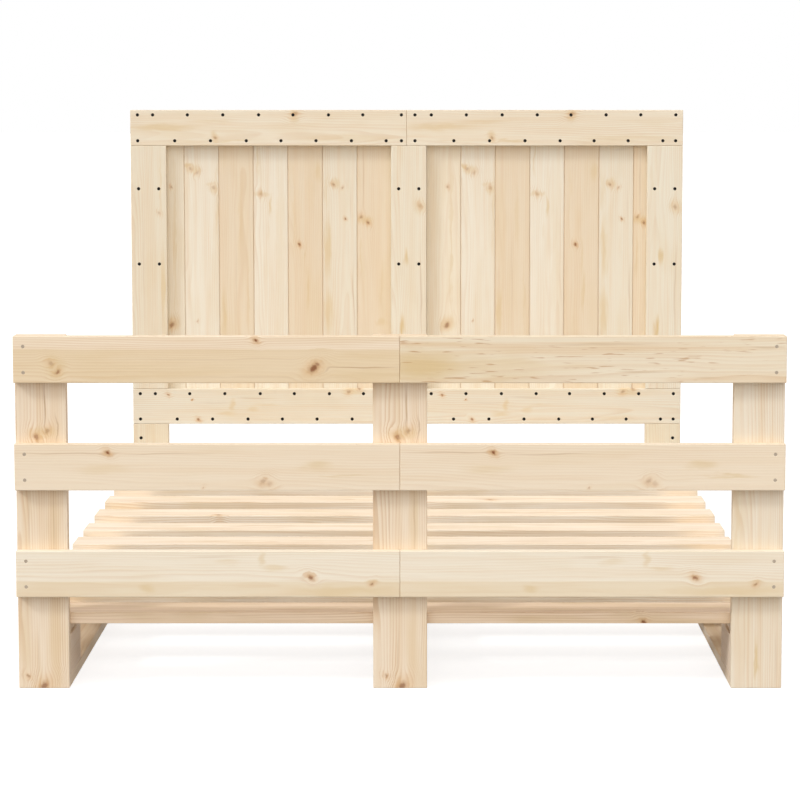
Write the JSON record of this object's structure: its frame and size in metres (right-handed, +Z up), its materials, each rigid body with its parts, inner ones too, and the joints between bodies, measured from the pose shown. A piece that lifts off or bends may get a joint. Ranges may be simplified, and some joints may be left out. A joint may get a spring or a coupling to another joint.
{
  "type": "wooden bed",
  "caption": "Double bed of unfinished pine: slatted pallet-style base, open foot end of boards on posts, and a framed tongue-and-groove headboard.",
  "frame": {"origin": "middle of the bed's footprint, on the floor", "axes": "+Z up, +Y along the bed from the foot end to the headboard, +X to the right seen from the foot end"},
  "size_m": [1.478, 2.0832, 1.1],
  "materials": {
    "foot_board_pine": "planed, unfinished",
    "post_pine": "planed, unfinished",
    "slat_pine": "planed, unfinished",
    "base_pine": "planed, unfinished",
    "block_pine": "sawn, unfinished",
    "frame_pine": "planed, unfinished",
    "panel_pine": "planed, unfinished"
  },
  "bodies": {
    "root": {"foot_board_bottom_left": "foot_board_pine", "foot_board_bottom_right": "foot_board_pine", "foot_board_middle_left": "foot_board_pine", "foot_board_middle_right": "foot_board_pine", "foot_board_top_left": "foot_board_pine", "foot_board_top_right": "foot_board_pine", "foot_post_left": "post_pine", "foot_post_centre": "post_pine", "foot_post_right": "post_pine", "runner_left": "base_pine", "runner_right": "base_pine", "centre_bearer": "base_pine", "block_left_1": "block_pine", "block_left_2": "block_pine", "block_left_3": "block_pine", "block_left_4": "block_pine", "block_right_1": "block_pine", "block_right_2": "block_pine", "block_right_3": "block_pine", "block_right_4": "block_pine", "stringer_left": "base_pine", "stringer_centre": "base_pine", "stringer_right": "base_pine", "slat_01": "slat_pine", "slat_02": "slat_pine", "slat_03": "slat_pine", "slat_04": "slat_pine", "slat_05": "slat_pine", "slat_06": "slat_pine", "slat_07": "slat_pine", "slat_08": "slat_pine", "slat_09": "slat_pine", "slat_10": "slat_pine", "slat_11": "slat_pine", "headboard_top_rail_left": "frame_pine", "headboard_top_rail_right": "frame_pine", "headboard_bottom_rail_left": "frame_pine", "headboard_bottom_rail_right": "frame_pine", "headboard_stile_left": "frame_pine", "headboard_stile_centre": "frame_pine", "headboard_stile_right": "frame_pine", "headboard_leg_left": "frame_pine", "headboard_leg_right": "frame_pine", "headboard_upright_left": "panel_pine", "headboard_upright_right": "panel_pine", "headboard_plank_01": "panel_pine", "headboard_plank_02": "panel_pine", "headboard_plank_03": "panel_pine", "headboard_plank_04": "panel_pine", "headboard_plank_05": "panel_pine", "headboard_plank_06": "panel_pine", "headboard_plank_07": "panel_pine", "headboard_plank_08": "panel_pine", "headboard_plank_09": "panel_pine", "headboard_plank_10": "panel_pine", "headboard_plank_11": "panel_pine", "headboard_plank_12": "panel_pine", "headboard_plank_13": "panel_pine", "headboard_plank_14": "panel_pine", "headboard_plank_15": "panel_pine"}
  },
  "joints": []
}
